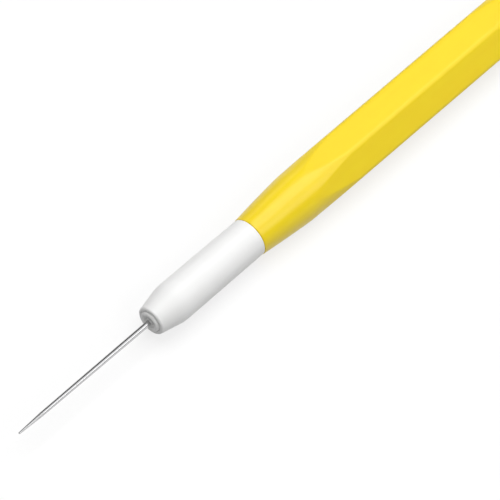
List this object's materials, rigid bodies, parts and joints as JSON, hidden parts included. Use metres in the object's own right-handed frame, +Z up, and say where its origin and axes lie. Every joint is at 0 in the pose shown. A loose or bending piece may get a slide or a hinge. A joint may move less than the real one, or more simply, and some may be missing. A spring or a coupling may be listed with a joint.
{
  "type": "scriber needle tool",
  "caption": "Slim hand tool for scribing and pricking: a steel needle in a white moulded ferrule, push-fitted to a yellow hexagonal handle with tapered ends and a domed rear plug.",
  "frame": {"origin": "middle of the tool's length, on the plane that the handle's lower flat rests on", "axes": "+X along the tool from the needle's tip to the rear plug, +Z up, square to the handle's lower flat"},
  "size_m": [0.1644, 0.0124, 0.011],
  "materials": {
    "needle_steel": "bright drawn wire with fine lengthwise lines and a finely ground point",
    "white_plastic": "smooth opaque white moulding with a soft sheen",
    "yellow_plastic": "smooth opaque yellow moulding with a soft sheen"
  },
  "bodies": {
    "root": {"needle": "needle_steel", "nose_ferrule": "white_plastic", "handle": "yellow_plastic", "rear_plug": "white_plastic"}
  },
  "joints": []
}
